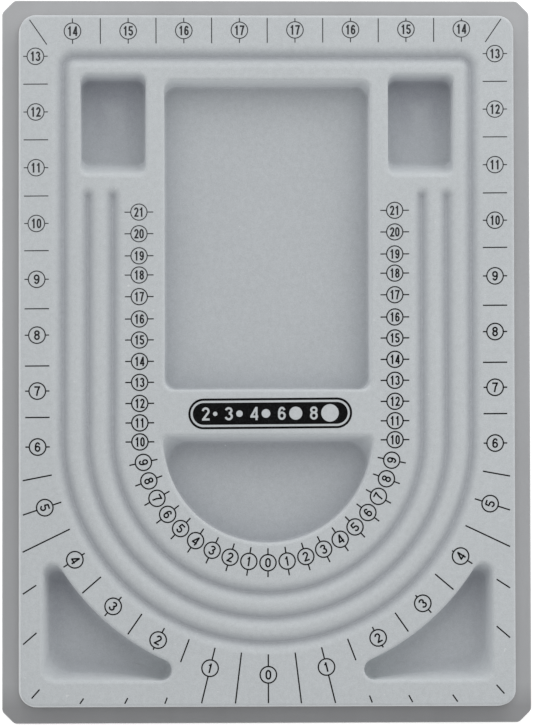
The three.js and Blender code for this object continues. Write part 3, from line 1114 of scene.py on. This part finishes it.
def sheet_material():
    """Satin polystyrene sheet: faint streaks along its length, fine orange peel and pale trimmed edges.

    It is painted a little darker towards the near end, and most along the near rim: painted shadow of the
    block.
    """
    nodes = Nodes("sheet")
    cloud = nodes.noise(SHEET_CLOUD_SCALE)
    streak = nodes.noise(STREAK_SCALE, detail=3, roughness=STREAK_ROUGHNESS, stretch=STREAK_STRETCH)
    # Streak and cloud noise, then painted light towards the near end and the block's painted shadow on the
    # near rim.
    tone = nodes.product(
        nodes.varied(streak, SHEET_SPREAD),
        nodes.varied(cloud, SHEET_SPREAD),
        nodes.along(SHEET_NEAR_PAINTED_LIGHT, SHEET_FAR_PAINTED_LIGHT),
        nodes.along(SHEET_RIM_PAINTED_SHADOW, 1.0, SHEET_RIM_SHADOW_FROM, SHEET_RIM_SHADOW_TO),
    )
    pale = nodes.product(nodes.mark("lip"), SHEET_EDGE_SHARE)
    nodes.color(nodes.scaled(nodes.mix(pale, SHEET_COLOR, SHEET_EDGE_COLOR), tone))
    nodes.link(nodes.remap(cloud, SHEET_SMOOTHEST, SHEET_ROUGHEST), nodes.shader.inputs["Roughness"])
    nodes.bump(nodes.noise(PEEL_SCALE), *PEEL_BUMP)
    return nodes.material


# Light: a soft sky all round, brighter beyond the far end and a little to the right, and one broad lamp on
# that side.
SKY_NEAR = 0.7
SKY_FAR = 1.04
SKY_TURN = (0.28, 0.96, 0.0)
KEY_POWER = 5.6
KEY_SIZE = 1.6
KEY_PLACE = (0.28, 1.08, 1.0)
FLOOR_SIZE = 6.0
FLOOR_DROP = 0.0002
FLOOR_COLOR = (0.9, 0.9, 0.9)
FLOOR_GLOW = 0.4


def studio():
    scene = bpy.context.scene
    scene.view_settings.view_transform = "Standard"
    world = bpy.data.worlds.new("studio")
    world.use_nodes = True
    tree = world.node_tree
    background = tree.nodes["Background"]
    background.inputs["Color"].default_value = (1, 1, 1, 1)
    way = tree.nodes.new("ShaderNodeTexCoord")
    toward = tree.nodes.new("ShaderNodeVectorMath")
    toward.operation = "DOT_PRODUCT"
    toward.inputs[1].default_value = SKY_TURN
    tree.links.new(way.outputs["Generated"], toward.inputs[0])
    sky = tree.nodes.new("ShaderNodeMapRange")
    sky.inputs["From Min"].default_value = -1.0
    sky.inputs["To Min"].default_value = SKY_NEAR
    sky.inputs["To Max"].default_value = SKY_FAR
    tree.links.new(toward.outputs["Value"], sky.inputs["Value"])
    strength = tree.nodes.new("ShaderNodeMapRange")
    strength.inputs["To Max"].default_value = 1.0
    tree.links.new(sky.outputs["Result"], strength.inputs["To Min"])
    tree.links.new(seen_rays(tree), strength.inputs["Value"])
    tree.links.new(strength.outputs["Result"], background.inputs["Strength"])
    scene.world = world

    lamp = bpy.data.lights.new("key", "AREA")
    lamp.shape = "DISK"
    lamp.size = KEY_SIZE
    lamp.energy = KEY_POWER
    key = bpy.data.objects.new("key", lamp)
    key.location = KEY_PLACE
    key.rotation_euler = (-Vector(KEY_PLACE)).to_track_quat("-Z", "Y").to_euler()
    scene.collection.objects.link(key)

    mesh = bpy.data.meshes.new("floor")
    reach = FLOOR_SIZE / 2
    corners = [(-reach, -reach), (reach, -reach), (reach, reach), (-reach, reach)]
    mesh.from_pydata([(x, y, -FLOOR_DROP) for x, y in corners], [], [(0, 1, 2, 3)])
    mesh.materials.append(floor_material())
    floor = bpy.data.objects.new("floor", mesh)
    scene.collection.objects.link(floor)


def seen_rays(tree):
    """1 for rays that show the background itself: seen directly, mirrored or through glass."""
    path = tree.nodes.new("ShaderNodeLightPath")
    total = path.outputs["Is Camera Ray"]
    for name in ("Is Glossy Ray", "Is Transmission Ray"):
        add = tree.nodes.new("ShaderNodeMath")
        add.operation = "MAXIMUM"
        tree.links.new(total, add.inputs[0])
        tree.links.new(path.outputs[name], add.inputs[1])
        total = add.outputs["Value"]
    return total


def floor_material():
    """Plain pale floor, whitened for the rays that see it, with the object's shadow kept."""
    nodes = Nodes("floor")
    nodes.set(roughness=0.9)
    nodes.shader.inputs["Base Color"].default_value = (*FLOOR_COLOR, 1.0)
    nodes.shader.inputs["Emission Color"].default_value = (1, 1, 1, 1)
    glow = nodes.product(seen_rays(nodes.tree), FLOOR_GLOW)
    nodes.link(glow, nodes.shader.inputs["Emission Strength"])
    return nodes.material


# Camera: above the near left part of the board, aimed at the middle of the frame.
IMAGE_HEIGHT = 725
FACE_PIXEL = 0.453
CAMERA_ABOVE_FACE = 1950.0
CAMERA_PLACE = (-60.0, -65.0)
CAMERA_UP = (0.002, 1.0, 0.0)
FRAME_CENTRE = (-0.58, -1.27)


def camera():
    data = bpy.data.cameras.new("camera")
    eye = bpy.data.objects.new("camera", data)
    eye.location = Vector((*CAMERA_PLACE, BOARD_HEIGHT + CAMERA_ABOVE_FACE)) * MM
    back = eye.location - Vector((*FRAME_CENTRE, BOARD_HEIGHT)) * MM
    data.lens = data.sensor_width * back.length / (FACE_PIXEL * IMAGE_HEIGHT * MM)
    back.normalize()
    across = Vector(CAMERA_UP).cross(back).normalized()
    eye.rotation_euler = Matrix((across, back.cross(across), back)).transposed().to_euler()
    bpy.context.scene.collection.objects.link(eye)
    bpy.context.scene.camera = eye


camera()
studio()
black = ink_material()
flock = flock_face(flock_material())
formed_tray(sheet_material())
inch_scale(flock, black)
centimetre_scale(flock, black)
gauge_panel(flock, black)
